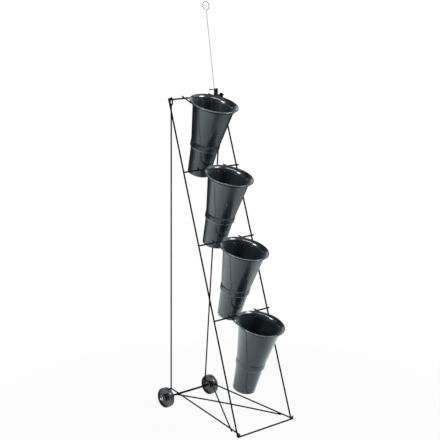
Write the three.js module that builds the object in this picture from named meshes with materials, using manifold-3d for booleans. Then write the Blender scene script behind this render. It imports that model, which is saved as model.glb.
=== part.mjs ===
// A leaning four-tier vase trolley of bent black rod, as a three.js scene graph.
// Millimetres, +Z up. +X runs along the axle, -Y is the front, and the floor is z = 0.
import * as THREE from "three";
import { mergeVertices } from "three/addons/utils/BufferGeometryUtils.js";
import Module from "manifold-3d";

const wasm = await Module();
wasm.setup();

// Fits
const seatGap = 0.3;
const runningGap = 0.35;

// Rods
const legDiameter = 6;
const crossRodDiameter = 6;
const uprightDiameter = 5;
const baseRodDiameter = 5;
const hoopDiameter = 5;
const axleDiameter = 8;
const rodSides = 12;
const fineRodSides = 10;
const bendSteps = 5;

// Leaning front frame
const frameWidth = 264;
const footSplay = 8;
const frameLean = THREE.MathUtils.degToRad(17.4);
const rodOverhang = 6;
const legTopOverrun = 7;
const tierOverlaps = [13, 11, 4];
const lowestTierRoom = 144;

// Rear frame
const axleBehind = 56;
const uprightTopInset = 6;
const uprightBottomInset = 43;
const eyeWidth = 13;
const eyeDrop = 23;
const eyeShoulderShare = 0.75;
const eyeShares = [0.35, 0.7, 1];
const eyeReturnShares = [0.7, 0.42];
const eyeSteps = 8;

// Wheels
const wheelDiameter = 79;
const wheelWidth = 21;
const wheelInset = 16;
const tyreCrown = 2;
const flangeThickness = 5;
const webRecess = 5;
const hubDiameter = 26;
const hubStepDiameter = 18;
const hubReach = 5;
const hubStepReach = 4;
const hubEdge = 1;
const wheelSides = 30;
const washerThickness = 2.4;
const washerDiameter = 15;
const capDiameter = 13;
const capLength = 8;
const capWall = 1.4;
const capSides = 20;

// Base frame
const braceHeightAboveAxle = 28;
const rearSideGap = 2;
const frontSideGap = 2;
const frontHookSlack = 1.6;
const rearHookSlack = 3;
const frontHookTip = 8;
const rearHookTip = 4.5;
const hookBend = 4;
const hookUpturn = 4;
const diagonalInsetShare = 0.12;
const diagonalOverhang = 7;
const diagonalSteps = 12;

// Vases
const vaseLength = 285;
const rimDiameter = 187;
const rimHeight = 7;
const rimBead = 3.5;
const vaseWall = 2.2;
const rimOverhang = 14.5;
const collarTopDiameter = 108;
const collarDiameter = 111;
const lowerTopDiameter = 97;
const vaseBottomDiameter = 86;
const collarDepth = 162;
const collarHeight = 22;
const collarEdge = 1.5;
const footRadius = 4;
const rimFlare = 3;
const rimSteps = 4;
const vaseSides = 30;

// Hoops that carry the vases
const hoopClearance = 2.5;
const rimToRod = 2.5;
const footToRod = 17;
const hoopArmSpacing = 136;
const hoopTail = 9;
const hoopSteps = 24;

// Card holder
const clipInset = 27.5;
const clipWidth = 14;
const clipDepth = 9;
const clipHeightAboveBar = 30;
const clipBelowBar = 6;
const clipSlot = 3;
const clipSlotDepth = 18;
const clipMouth = 5;
const screwHeight = 24;
const screwDiameter = 4;
const screwReach = 26;
const screwHeadDiameter = 6;
const screwHeadLength = 10;
const screwTail = 2;
const screwChamfer = 1;
const screwSides = 16;
const wireDiameter = 2.2;
const wireEyeDiameter = 7;
const wireEyeSweep = THREE.MathUtils.degToRad(290);
const wireEyeSteps = 12;
const wireLength = 314;
const wireLean = THREE.MathUtils.degToRad(8.5);
const cardRingDiameter = 32;
const cardRingOpening = 6;
const cardRingSteps = 20;
const wireSides = 8;
const cutOverrun = 2;

// Finishes
const blackRod = new THREE.MeshStandardMaterial({ color: 0x1c1715, roughness: 0.42, metalness: 0.4 });
const blackPlastic = new THREE.MeshStandardMaterial({ color: 0x23282a, roughness: 0.3, metalness: 0 });
const wheelPlastic = new THREE.MeshStandardMaterial({ color: 0x33383a, roughness: 0.45, metalness: 0 });
const brightSteel = new THREE.MeshStandardMaterial({ color: 0xb8b4b0, roughness: 0.3, metalness: 1 });

// Values that follow from the sizes above
const tierSpacings = tierOverlaps.map((overlap) => vaseLength - overlap);
const tierDistances = [0];
tierSpacings.forEach((spacing, i) => tierDistances.push(tierDistances[i] + spacing));
const rodLineLength = tierDistances[tierSpacings.length] + vaseLength + lowestTierRoom;
const topBarHeight = crossRodDiameter / 2 + rodLineLength * Math.cos(frameLean);
const downFrame = new THREE.Vector3(0, -Math.sin(frameLean), -Math.cos(frameLean));
const frameFront = new THREE.Vector3(0, -Math.cos(frameLean), Math.sin(frameLean));
const uprightTopSpacing = frameWidth - 2 * uprightTopInset;
const uprightBottomSpacing = frameWidth - 2 * uprightBottomInset;
const clipOffset = uprightTopSpacing / 2 - clipInset;
const vaseTopDiameter = rimDiameter - 2 * rimOverhang;
const hoopInnerDiameter = vaseTopDiameter + 2 * hoopClearance;
const hoopReach = rimDiameter / 2 + rimToRod;
const footDepth = hoopReach + vaseBottomDiameter / 2 + footToRod;
const vaseTilt = Math.asin(footDepth / Math.min(...tierSpacings)) - frameLean;
const legSeat = legDiameter / 2 + seatGap + crossRodDiameter / 2;
const topBar = new THREE.Vector3(0, 0, topBarHeight);
const axleHeight = wheelDiameter / 2;

const bothSides = [["left", -1], ["right", 1]];

const trolley = new THREE.Group();
const assembly = new THREE.Group();
trolley.add(assembly);

function addPiece(name, geometry, material, parent = assembly) {
  const mesh = new THREE.Mesh(geometry, material);
  mesh.name = name;
  parent.add(mesh);
  return mesh;
}

function point(x, y, z) {
  return new THREE.Vector3(x, y, z);
}

// The centre line of a bent rod: straight runs joined by round bends.
// Its parameter counts stations and not length, so that a straight run takes one step.
class BentRod extends THREE.Curve {
  constructor(corners, bendRadius) {
    super();
    this.places = [];
    this.headings = [];
    const heading = (a, b) => b.clone().sub(a).normalize();
    const last = corners.length - 1;
    this.addStation(corners[0], heading(corners[0], corners[1]));
    for (let i = 1; i < last; i++) {
      const before = heading(corners[i - 1], corners[i]);
      const after = heading(corners[i], corners[i + 1]);
      this.addBend(corners[i], before, after, bendRadius);
    }
    this.addStation(corners[last], heading(corners[last - 1], corners[last]));
  }

  addStation(place, direction) {
    this.places.push(place.clone());
    this.headings.push(direction.clone());
  }

  addBend(corner, before, after, radius) {
    const turn = before.angleTo(after);
    const setback = radius * Math.tan(turn / 2);
    const start = corner.clone().addScaledVector(before, -setback);
    const inward = after.clone().addScaledVector(before, -before.dot(after)).normalize();
    const centre = start.clone().addScaledVector(inward, radius);
    for (let i = 0; i <= bendSteps; i++) {
      const angle = (turn * i) / bendSteps;
      const place = centre.clone();
      place.addScaledVector(inward, -radius * Math.cos(angle));
      place.addScaledVector(before, radius * Math.sin(angle));
      const direction = before.clone().multiplyScalar(Math.cos(angle));
      this.addStation(place, direction.addScaledVector(inward, Math.sin(angle)));
    }
  }

  get steps() {
    return this.places.length - 1;
  }

  blend(list, t, target) {
    const at = Math.min(Math.max(t, 0), 1) * this.steps;
    const low = Math.min(Math.floor(at), this.steps - 1);
    return target.copy(list[low]).lerp(list[low + 1], at - low);
  }

  getPoint(t, target = new THREE.Vector3()) {
    return this.blend(this.places, t, target);
  }

  getPointAt(u, target) {
    return this.getPoint(u, target);
  }

  getTangent(t, target = new THREE.Vector3()) {
    return this.blend(this.headings, t, target).normalize();
  }

  getTangentAt(u, target) {
    return this.getTangent(u, target);
  }
}

// A round rod of one diameter along a path, with flat ends.
function sweep(path, steps, diameter, sides) {
  const section = new THREE.Shape();
  for (let i = 0; i < sides; i++) {
    const angle = (2 * Math.PI * i) / sides;
    const x = (diameter / 2) * Math.cos(angle);
    const y = (diameter / 2) * Math.sin(angle);
    if (i === 0) section.moveTo(x, y);
    else section.lineTo(x, y);
  }
  section.closePath();
  return new THREE.ExtrudeGeometry(section, { steps, extrudePath: path, curveSegments: 1 });
}

function bentRod(corners, diameter, bendRadius, sides = rodSides) {
  const path = new BentRod(corners, bendRadius);
  return sweep(path, path.steps, diameter, sides);
}

// A turned piece about X, from a closed outline of (distance from the axis, place along X).
function turnedAboutX(outline, sides) {
  const profile = outline.map(([radius, along]) => new THREE.Vector2(radius, along));
  profile.push(profile[0].clone());
  return new THREE.LatheGeometry(profile, sides).rotateZ(-Math.PI / 2);
}

function toSolid(geometry) {
  const plain = geometry.clone();
  plain.deleteAttribute("normal");
  plain.deleteAttribute("uv");
  const merged = mergeVertices(plain);
  return new wasm.Manifold(
    new wasm.Mesh({
      numProp: merged.attributes.position.itemSize,
      vertProperties: merged.attributes.position.array,
      triVerts: new Uint32Array(merged.index.array),
    }),
  );
}

function toGeometry(solid) {
  const mesh = solid.getMesh();
  const geometry = new THREE.BufferGeometry();
  geometry.setAttribute("position", new THREE.BufferAttribute(mesh.vertProperties, mesh.numProp));
  geometry.setIndex(new THREE.BufferAttribute(mesh.triVerts, 1));
  geometry.computeVertexNormals();
  return geometry;
}

// A place on the line of the cross rods, at a distance down the frame from the top bar.
function rodPlace(distance) {
  return topBar.clone().addScaledVector(downFrame, distance);
}

// Half the distance between the legs, which spread a little towards the floor.
function legX(distance) {
  return frameWidth / 2 + (footSplay * distance) / rodLineLength;
}

// Leaning front frame: the legs run behind the cross rods
function addLegs() {
  const footClearance = (legDiameter / 2) * Math.sin(frameLean) + seatGap;
  const top = rodPlace(-legTopOverrun).addScaledVector(frameFront, -legSeat);
  const lineFoot = rodPlace(rodLineLength).addScaledVector(frameFront, -legSeat);
  const foot = lineFoot.clone().addScaledVector(downFrame, (lineFoot.z - footClearance) / Math.cos(frameLean));
  for (const [side, sign] of bothSides) {
    const footAcross = point(sign * legX(rodLineLength), 0, 0);
    const topAcross = point(sign * legX(-legTopOverrun), 0, 0);
    const corners = [foot.clone().add(footAcross), top.clone().add(topAcross)];
    addPiece(`${side}_leg`, bentRod(corners, legDiameter, hookBend), blackRod);
  }
}

function addCrossRod(name, distance) {
  const reach = legX(distance) + rodOverhang;
  const place = rodPlace(distance);
  const corners = [point(-reach, place.y, place.z), point(reach, place.y, place.z)];
  addPiece(name, bentRod(corners, crossRodDiameter, hookBend), blackRod);
}

// The plane of a hoop and of the vase that hangs in it, carried by one cross rod
const vaseUp = new THREE.Vector3(0, -Math.sin(vaseTilt), Math.cos(vaseTilt));
const hoopForward = new THREE.Vector3(0, -Math.cos(vaseTilt), -Math.sin(vaseTilt));
const hoopLift = crossRodDiameter / 2 + seatGap + hoopDiameter / 2;

function hoopPlace(rod, across, forward) {
  const place = rod.clone().add(point(across, 0, 0));
  return place.addScaledVector(vaseUp, hoopLift).addScaledVector(hoopForward, forward);
}

// A hoop: two arms from the cross rod that run tangent into a round front
function hoopCentreLine(rod) {
  const radius = (hoopInnerDiameter + hoopDiameter) / 2;
  const armX = hoopArmSpacing / 2;
  const armSpan = Math.hypot(armX, hoopReach);
  const startAngle = Math.atan2(hoopReach, armX) - Math.acos(radius / armSpan);
  const points = [];
  const armEnd = [radius * Math.cos(startAngle), hoopReach - radius * Math.sin(startAngle)];
  const armDirection = new THREE.Vector2(armX - armEnd[0], -armEnd[1]).normalize();
  const tail = [armX + armDirection.x * hoopTail, armDirection.y * hoopTail];
  points.push(hoopPlace(rod, tail[0], tail[1]));
  for (let i = 0; i <= hoopSteps; i++) {
    const angle = startAngle - ((Math.PI + 2 * startAngle) * i) / hoopSteps;
    points.push(hoopPlace(rod, radius * Math.cos(angle), hoopReach - radius * Math.sin(angle)));
  }
  points.push(hoopPlace(rod, -tail[0], tail[1]));
  return points;
}

// Stations of a path given point by point, each facing along its own stretch of the line
class StationPath extends BentRod {
  constructor(points) {
    super([points[0], points[1]], 0);
    const last = points.length - 1;
    this.places = points;
    this.headings = points.map((place, i) => {
      const before = points[Math.max(i - 1, 0)];
      const after = points[Math.min(i + 1, last)];
      return after.clone().sub(before).normalize();
    });
  }
}

function addHoop(name, distance) {
  const path = new StationPath(hoopCentreLine(rodPlace(distance)));
  addPiece(name, sweep(path, path.steps, hoopDiameter, fineRodSides), blackRod);
}

// Vase: a thin tapered cup with a rolled rim, a collar two thirds down and a narrower foot
function vaseGeometry() {
  const rim = rimDiameter / 2;
  const top = vaseTopDiameter / 2;
  const bottom = vaseBottomDiameter / 2;
  const bandTop = collarDepth;
  const bandBottom = collarDepth + collarHeight;
  const slope = (top - collarTopDiameter / 2) / (bandTop - rimHeight);
  const beadCentre = rim - rimBead;
  const outline = [];
  for (let i = 0; i <= rimSteps; i++) {
    const angle = -Math.PI / 2 + (Math.PI * i) / rimSteps;
    outline.push([beadCentre + rimBead * Math.cos(angle), -rimBead + rimBead * Math.sin(angle)]);
  }
  const innerTop = top - vaseWall + rimHeight * slope + rimFlare;
  outline.push([innerTop + rimFlare, -vaseWall / 2]);
  outline.push([innerTop, -rimHeight]);
  outline.push([top - vaseWall, -rimHeight - rimFlare]);
  outline.push([collarTopDiameter / 2 - vaseWall, -bandTop]);
  outline.push([lowerTopDiameter / 2 - vaseWall, -bandBottom]);
  outline.push([bottom - vaseWall, -vaseLength + vaseWall + footRadius]);
  outline.push([bottom - vaseWall - footRadius, -vaseLength + vaseWall]);
  outline.push([0, -vaseLength + vaseWall]);
  outline.push([0, -vaseLength]);
  outline.push([bottom - footRadius, -vaseLength]);
  outline.push([bottom - footRadius * (1 - Math.SQRT1_2), -vaseLength + footRadius * (1 - Math.SQRT1_2)]);
  outline.push([bottom, -vaseLength + footRadius]);
  outline.push([lowerTopDiameter / 2, -bandBottom]);
  outline.push([collarDiameter / 2 - collarEdge, -bandBottom]);
  outline.push([collarDiameter / 2, -bandBottom + collarEdge]);
  outline.push([collarDiameter / 2, -bandTop - collarEdge]);
  outline.push([collarTopDiameter / 2, -bandTop]);
  outline.push([top, -rimHeight - rimFlare]);
  outline.push([top + rimFlare, -rimHeight]);
  outline.push([beadCentre - rimBead, -rimHeight]);
  const profile = outline.map(([radius, height]) => new THREE.Vector2(radius, height));
  profile.push(profile[0].clone());
  return new THREE.LatheGeometry(profile, vaseSides).rotateX(Math.PI / 2);
}

function addVase(name, distance) {
  const seat = hoopDiameter / 2 + seatGap + rimHeight;
  const place = hoopPlace(rodPlace(distance), 0, hoopReach).addScaledVector(vaseUp, seat);
  const vase = addPiece(name, vaseGeometry(), blackPlastic);
  vase.rotation.x = vaseTilt;
  vase.position.copy(place);
}

// Rear frame: each upright ends in a drop-shaped eye round the top bar
function uprightPath(sign) {
  const top = point((sign * uprightTopSpacing) / 2, 0, topBarHeight);
  const axlePlace = point((sign * uprightBottomSpacing) / 2, axleBehind, axleHeight);
  const up = top.clone().sub(axlePlace).normalize();
  const back = point(0, up.z, -up.y).normalize();
  const half = eyeWidth / 2;
  const loopDrop = (eyeDrop - half) * eyeShoulderShare;
  const archBase = crossRodDiameter / 2 + seatGap + uprightDiameter / 2 - half;
  const place = (along, across) => top.clone().addScaledVector(up, along).addScaledVector(back, across);
  const shoulder = (share, side) => {
    const bulge = half * Math.sin((share * Math.PI) / 2);
    return place(-eyeDrop + loopDrop * share, side * bulge);
  };
  const points = [axlePlace.clone().addScaledVector(up, axleDiameter / 2 + seatGap)];
  points.push(place(-eyeDrop - half, 0));
  points.push(place(-eyeDrop, 0));
  eyeShares.forEach((share) => points.push(shoulder(share, -1)));
  for (let i = 0; i <= eyeSteps; i++) {
    const angle = Math.PI - (Math.PI * i) / eyeSteps;
    points.push(place(archBase + half * Math.sin(angle), half * Math.cos(angle)));
  }
  points.push(shoulder(1, 1));
  eyeReturnShares.forEach((share) => points.push(shoulder(share, 1)));
  return new StationPath(points);
}

function addRearFrame() {
  for (const [side, sign] of bothSides) {
    const path = uprightPath(sign);
    addPiece(`${side}_upright`, sweep(path, path.steps, uprightDiameter, fineRodSides), blackRod);
  }
  const reach = axleReach();
  const ends = [point(-reach, axleBehind, axleHeight), point(reach, axleBehind, axleHeight)];
  addPiece("axle", bentRod(ends, axleDiameter, hookBend, capSides), blackRod);
}

// Wheels: a crowned tread, a raised flange on both sides, a sunk web and a stepped hub
const wheelInner = uprightBottomSpacing / 2 + wheelInset;
const wheelOuter = wheelInner + wheelWidth;

function axleReach() {
  return wheelOuter + hubReach + hubStepReach + capLength - capWall - seatGap;
}

function wheelGeometry() {
  const bore = axleDiameter / 2 + runningGap;
  const rim = wheelDiameter / 2;
  const web = wheelInner + webRecess;
  const webOuter = wheelOuter - webRecess;
  const flange = rim - flangeThickness;
  const hub = hubDiameter / 2;
  const step = hubStepDiameter / 2;
  const hubFace = wheelOuter + hubReach;
  const outline = [
    [bore, wheelInner],
    [hub - hubEdge, wheelInner],
    [hub, wheelInner + hubEdge],
    [hub + hubEdge, web],
    [flange - hubEdge, web],
    [flange, wheelInner + hubEdge],
    [flange + hubEdge, wheelInner],
    [rim - tyreCrown, wheelInner],
    [rim, wheelInner + tyreCrown],
    [rim, wheelOuter - tyreCrown],
    [rim - tyreCrown, wheelOuter],
    [flange + hubEdge, wheelOuter],
    [flange, wheelOuter - hubEdge],
    [flange - hubEdge, webOuter],
    [hub + hubEdge, webOuter],
    [hub, hubFace - hubEdge],
    [hub - hubEdge, hubFace],
    [step, hubFace],
    [step, hubFace + hubStepReach - hubEdge],
    [step - hubEdge, hubFace + hubStepReach],
    [bore, hubFace + hubStepReach],
  ];
  return turnedAboutX(outline, wheelSides);
}

function washerGeometry() {
  const bore = axleDiameter / 2 + seatGap;
  const inner = wheelInner - seatGap - washerThickness;
  const outer = wheelInner - seatGap;
  return turnedAboutX(
    [
      [bore, inner],
      [washerDiameter / 2, inner],
      [washerDiameter / 2, outer],
      [bore, outer],
    ],
    capSides,
  );
}

// A pressed cap: a shallow cup with a domed end, pushed over the end of the axle
function capGeometry() {
  const bore = axleDiameter / 2 + seatGap;
  const outer = capDiameter / 2;
  const open = wheelOuter + hubReach + hubStepReach + seatGap;
  const end = open + capLength;
  const outline = [
    [bore, open],
    [outer, open],
    [outer, open + capWall],
    [outer - capWall, open + 2 * capWall],
  ];
  const domeStart = end - capWall - seatGap;
  outline.push([outer - capWall, domeStart - capWall]);
  outline.push([outer - 2 * capWall, end - seatGap]);
  outline.push([capWall, end]);
  outline.push([0, end]);
  outline.push([0, end - capWall]);
  outline.push([bore, end - capWall]);
  return turnedAboutX(outline, capSides);
}

function addWheels() {
  for (const [side, sign] of bothSides) {
    const hubGroup = new THREE.Group();
    hubGroup.position.set(0, axleBehind, axleHeight);
    if (sign < 0) hubGroup.rotation.z = Math.PI;
    assembly.add(hubGroup);
    addPiece(`${side}_wheel`, wheelGeometry(), wheelPlastic, hubGroup);
    addPiece(`${side}_axle_washer`, washerGeometry(), blackPlastic, hubGroup);
    addPiece(`${side}_axle_cap`, capGeometry(), brightSteel, hubGroup);
  }
}

// Base frame: the hooks of each brace pass behind its upright and in front of its leg.
// These are the corners of a brace, which the diagonals lie on too.
function braceCorners(sign) {
  const rearHeight = axleHeight + braceHeightAboveAxle;
  const rise = (rearHeight - axleHeight) / (topBarHeight - axleHeight);
  const uprightY = axleBehind * (1 - rise);
  const uprightX = (sign * (uprightBottomSpacing + (uprightTopSpacing - uprightBottomSpacing) * rise)) / 2;
  const rearDepth = uprightDiameter / 2 + rearHookSlack + baseRodDiameter / 2;
  const frontHeight = crossRodDiameter + seatGap + baseRodDiameter / 2;
  const lineFoot = rodPlace(rodLineLength).addScaledVector(frameFront, -legSeat);
  const legY = lineFoot.y + (frontHeight - lineFoot.z) * Math.tan(frameLean);
  const frontDepth = legDiameter / 2 + frontHookSlack + baseRodDiameter / 2;
  const footX = legX(rodLineLength);
  const rearAside = uprightDiameter / 2 + rearSideGap + baseRodDiameter / 2;
  const frontAside = legDiameter / 2 + frontSideGap + baseRodDiameter / 2;
  return {
    rear: point(uprightX - sign * rearAside, uprightY + rearDepth, rearHeight),
    front: point(sign * (footX - frontAside), legY - frontDepth, frontHeight),
    rearTip: point(uprightX + sign * rearHookTip, uprightY + rearDepth, rearHeight),
  };
}

function addBrace(name, sign) {
  const { rear, front, rearTip } = braceCorners(sign);
  const footX = legX(rodLineLength);
  const bend = point(sign * (footX + legDiameter / 2), front.y, front.z);
  const tip = point(sign * (footX + frontHookTip), front.y, front.z + hookUpturn);
  const corners = [rearTip, rear, front, bend, tip];
  addPiece(name, bentRod(corners, baseRodDiameter, hookBend, fineRodSides), blackRod);
}

// A diagonal lies under both braces and bows a little to clear the other one in the middle.
function addDiagonal(name, rearSign, bow) {
  const rearBrace = braceCorners(rearSign);
  const frontBrace = braceCorners(-rearSign);
  const start = rearBrace.rear.clone().lerp(rearBrace.front, diagonalInsetShare);
  const end = frontBrace.rear.clone().lerp(frontBrace.front, 1 - diagonalInsetShare);
  start.z -= baseRodDiameter + seatGap;
  end.z -= baseRodDiameter + seatGap;
  const along = end.clone().sub(start);
  const points = [];
  for (let i = 0; i <= diagonalSteps; i++) {
    const share = i / diagonalSteps;
    const place = start.clone().addScaledVector(along, share);
    place.z += bow * (baseRodDiameter / 2 + seatGap) * Math.sin(Math.PI * share);
    points.push(place);
  }
  along.normalize();
  points.unshift(start.clone().addScaledVector(along, -diagonalOverhang));
  points.push(end.clone().addScaledVector(along, diagonalOverhang));
  const path = new StationPath(points);
  addPiece(name, sweep(path, path.steps, baseRodDiameter, fineRodSides), blackRod);
}

// Card holder: a clip with a round mouth on the bar and two ears, a thumbscrew and a wire
function addCardClip() {
  const height = clipHeightAboveBar + clipBelowBar;
  const block = new THREE.BoxGeometry(clipWidth, clipDepth, height);
  block.translate(clipOffset, 0, topBarHeight + (clipHeightAboveBar - clipBelowBar) / 2);
  const barHole = new THREE.CylinderGeometry(
    crossRodDiameter / 2 + seatGap,
    crossRodDiameter / 2 + seatGap,
    clipWidth + cutOverrun,
    capSides,
  );
  barHole.rotateZ(Math.PI / 2).translate(clipOffset, 0, topBarHeight);
  const mouth = new THREE.BoxGeometry(clipWidth + cutOverrun, clipMouth, clipBelowBar + cutOverrun);
  mouth.translate(clipOffset, 0, topBarHeight - (clipBelowBar + cutOverrun) / 2);
  const slot = new THREE.BoxGeometry(clipSlot, clipDepth + cutOverrun, clipSlotDepth + cutOverrun);
  slot.translate(clipOffset, 0, topBarHeight + clipHeightAboveBar - (clipSlotDepth - cutOverrun) / 2);
  const screwHole = new THREE.CylinderGeometry(
    screwDiameter / 2 + runningGap,
    screwDiameter / 2 + runningGap,
    clipWidth + cutOverrun,
    screwSides,
  );
  screwHole.rotateZ(Math.PI / 2).translate(clipOffset, 0, topBarHeight + screwHeight);
  const cuts = [barHole, mouth, slot, screwHole].map(toSolid);
  const clip = cuts.reduce((solid, cut) => solid.subtract(cut), toSolid(block));
  addPiece("card_clip", toGeometry(clip), blackPlastic);
}

function addClampScrew() {
  const end = clipOffset + clipWidth / 2 + screwTail;
  const headEnd = clipOffset - clipWidth / 2 - screwReach;
  const shank = screwDiameter / 2;
  const head = screwHeadDiameter / 2;
  const outline = [
    [0, headEnd],
    [head - screwChamfer, headEnd],
    [head, headEnd + screwChamfer],
    [head, headEnd + screwHeadLength - screwChamfer],
    [shank, headEnd + screwHeadLength],
    [shank, end - screwChamfer],
    [shank - screwChamfer, end],
    [0, end],
  ];
  const screw = addPiece("clamp_screw", turnedAboutX(outline, screwSides), brightSteel);
  screw.position.z = topBarHeight + screwHeight;
}

// The wire starts as an open eye round the screw, rises, and ends as an open card ring.
function addCardWire() {
  const eye = wireEyeDiameter / 2;
  const ring = cardRingDiameter / 2;
  const wireX = clipOffset - clipWidth / 2 - seatGap - wireDiameter / 2;
  const points = [];
  for (let i = 0; i <= wireEyeSteps; i++) {
    const angle = Math.PI / 2 - wireEyeSweep * (1 - i / wireEyeSteps);
    points.push(point(0, -eye * Math.cos(angle), eye * Math.sin(angle)));
  }
  points.push(point(0, 0, wireLength - ring));
  const ringSweep = 2 * Math.PI - cardRingOpening / ring;
  for (let i = 0; i <= cardRingSteps; i++) {
    const angle = -Math.PI / 2 + (ringSweep * i) / cardRingSteps;
    points.push(point(ring * Math.cos(angle), 0, wireLength + ring * Math.sin(angle)));
  }
  const path = new StationPath(points);
  const wire = addPiece("card_wire", sweep(path, path.steps, wireDiameter, wireSides), brightSteel);
  wire.position.set(wireX, 0, topBarHeight + screwHeight);
  wire.rotation.x = -wireLean;
}

addLegs();
tierDistances.forEach((distance, i) => addCrossRod(i === 0 ? "top_bar" : `cross_rod_${i + 1}`, distance));
addCrossRod("front_bar", rodLineLength);
tierDistances.forEach((distance, i) => {
  addHoop(`vase_hoop_${i + 1}`, distance);
  addVase(`vase_${i + 1}`, distance);
});
addRearFrame();
addWheels();
addBrace("left_brace", -1);
addBrace("right_brace", 1);
addDiagonal("diagonal_over", -1, 1);
addDiagonal("diagonal_under", 1, -1);
addCardClip();
addClampScrew();
addCardWire();

// The origin is under the middle of the whole trolley, on the floor.
const middle = new THREE.Box3().setFromObject(assembly).getCenter(new THREE.Vector3());
assembly.position.set(-middle.x, -middle.y, 0);

export default trolley;
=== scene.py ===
import math

import bmesh
import bpy
from mathutils import Matrix, Vector


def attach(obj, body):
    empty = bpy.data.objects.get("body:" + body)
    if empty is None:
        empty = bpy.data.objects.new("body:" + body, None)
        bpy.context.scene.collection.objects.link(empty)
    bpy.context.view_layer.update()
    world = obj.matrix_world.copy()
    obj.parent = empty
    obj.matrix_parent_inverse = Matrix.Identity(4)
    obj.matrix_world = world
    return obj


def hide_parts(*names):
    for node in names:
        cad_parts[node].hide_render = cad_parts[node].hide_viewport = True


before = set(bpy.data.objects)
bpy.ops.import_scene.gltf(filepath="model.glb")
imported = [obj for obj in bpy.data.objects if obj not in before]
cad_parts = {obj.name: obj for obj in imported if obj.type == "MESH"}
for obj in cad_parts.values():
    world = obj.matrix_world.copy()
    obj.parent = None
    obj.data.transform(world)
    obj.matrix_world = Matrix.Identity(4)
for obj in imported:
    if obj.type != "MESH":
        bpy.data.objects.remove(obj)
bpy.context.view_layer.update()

# Front frame: two legs of 6 mm steel rod with five cross rods resistance welded across their fronts.
# The rod is cut square, tumbled, and powder coated satin black after welding.
MM = 0.001
TOP_BAR_Y = 168.686 * MM
TOP_BAR_Z = 1201.526 * MM
FRAME_LEAN = math.radians(17.4)
LINE_LENGTH = 1256.0 * MM
TIER_DISTANCES = [0.0, 272.0 * MM, 546.0 * MM, 827.0 * MM]
ROD_RADIUS = 3.0 * MM
TOP_HALF_WIDTH = 132.0 * MM
FOOT_SPLAY = 8.0 * MM
ROD_OVERHANG = 6.0 * MM
TOP_OVERRUN = 7.0 * MM
SEAT_GAP = 0.3 * MM
LEG_SEAT = 2.0 * ROD_RADIUS + SEAT_GAP
BOTH_SIDES = (("left", -1.0), ("right", 1.0))
down_frame = Vector((0.0, -math.sin(FRAME_LEAN), -math.cos(FRAME_LEAN)))
frame_front = Vector((0.0, -math.cos(FRAME_LEAN), math.sin(FRAME_LEAN)))


def rod_place(distance):
    """The middle of the cross rod at that distance down the frame from the top bar."""
    return Vector((0.0, TOP_BAR_Y, TOP_BAR_Z)) + down_frame * distance


def leg_x(distance):
    """How far each leg stands from the middle: the two spread a little towards the floor."""
    return TOP_HALF_WIDTH + FOOT_SPLAY * distance / LINE_LENGTH


def rod_mesh(name, points, radius, sides=20, shoulder=0.7):
    """A round rod along the points, with its cut ends slightly rounded by the tumbling."""
    points = [Vector(p) for p in points]
    stations = []
    for i, place in enumerate(points):
        before = points[max(i - 1, 0)]
        after = points[min(i + 1, len(points) - 1)]
        stations.append((place, (after - before).normalized(), radius))
    first, last = stations[0], stations[-1]
    inset = radius * (1.0 - shoulder)
    stations[0] = (first[0] + first[1] * inset, first[1], radius)
    stations[-1] = (last[0] - last[1] * inset, last[1], radius)
    stations.insert(0, (first[0], first[1], radius * shoulder))
    stations.append((last[0], last[1], radius * shoulder))
    side = stations[0][1].orthogonal().normalized()
    mesh = bmesh.new()
    rings = []
    for place, along, ring_radius in stations:
        side = (side - along * side.dot(along)).normalized()
        other = along.cross(side)
        ring = []
        for k in range(sides):
            angle = 2.0 * math.pi * k / sides
            offset = side * math.cos(angle) + other * math.sin(angle)
            ring.append(mesh.verts.new(place + offset * ring_radius))
        rings.append(ring)
    join_rings(mesh, rings)
    mesh.faces.new(list(reversed(rings[0])))
    mesh.faces.new(rings[-1])
    return finished_object(name, mesh, crease=40.0)


def join_rings(mesh, rings):
    """Closes the wall between each ring of corners and the next."""
    for low, high in zip(rings, rings[1:]):
        for k in range(len(low)):
            n = (k + 1) % len(low)
            mesh.faces.new((low[k], low[n], high[n], high[k]))


def finished_object(name, mesh, crease=30.0):
    """Makes an object of the mesh, smooth but for edges sharper than the crease in degrees."""
    bmesh.ops.recalc_face_normals(mesh, faces=mesh.faces)
    for face in mesh.faces:
        face.smooth = True
    for edge in mesh.edges:
        if len(edge.link_faces) == 2 and edge.calc_face_angle() > math.radians(crease):
            edge.smooth = False
    data = bpy.data.meshes.new(name)
    mesh.to_mesh(data)
    mesh.free()
    made = bpy.data.objects.new(name, data)
    bpy.context.collection.objects.link(made)
    return made


def feed(links, socket, value):
    """Links another socket to this one, or sets it to a plain value."""
    if isinstance(value, bpy.types.NodeSocket):
        links.new(value, socket)
    else:
        socket.default_value = value


NUMBER, VECTOR = "NodeSocketFloat", "NodeSocketVector"


def new_finish(name, inputs):
    """A shader node group for a finish, with the three outputs of all finishes."""
    group = bpy.data.node_groups.new(name, "ShaderNodeTree")
    for socket, kind, value in inputs:
        group.interface.new_socket(socket, in_out="INPUT", socket_type=kind).default_value = value
    for socket, kind in (("Tone", NUMBER), ("Roughness", NUMBER), ("Normal", VECTOR)):
        group.interface.new_socket(socket, in_out="OUTPUT", socket_type=kind)
    return group, group.nodes.new("NodeGroupInput").outputs, group.nodes.new("NodeGroupOutput").inputs


def noise_mask(group, place, scale, detail, roughness=0.5):
    """A soft noise from 0 to 1."""
    noise = group.nodes.new("ShaderNodeTexNoise")
    feed(group.links, noise.inputs["Vector"], place)
    feed(group.links, noise.inputs["Scale"], scale)
    feed(group.links, noise.inputs["Detail"], detail)
    feed(group.links, noise.inputs["Roughness"], roughness)
    return noise.outputs["Fac"]


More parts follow.
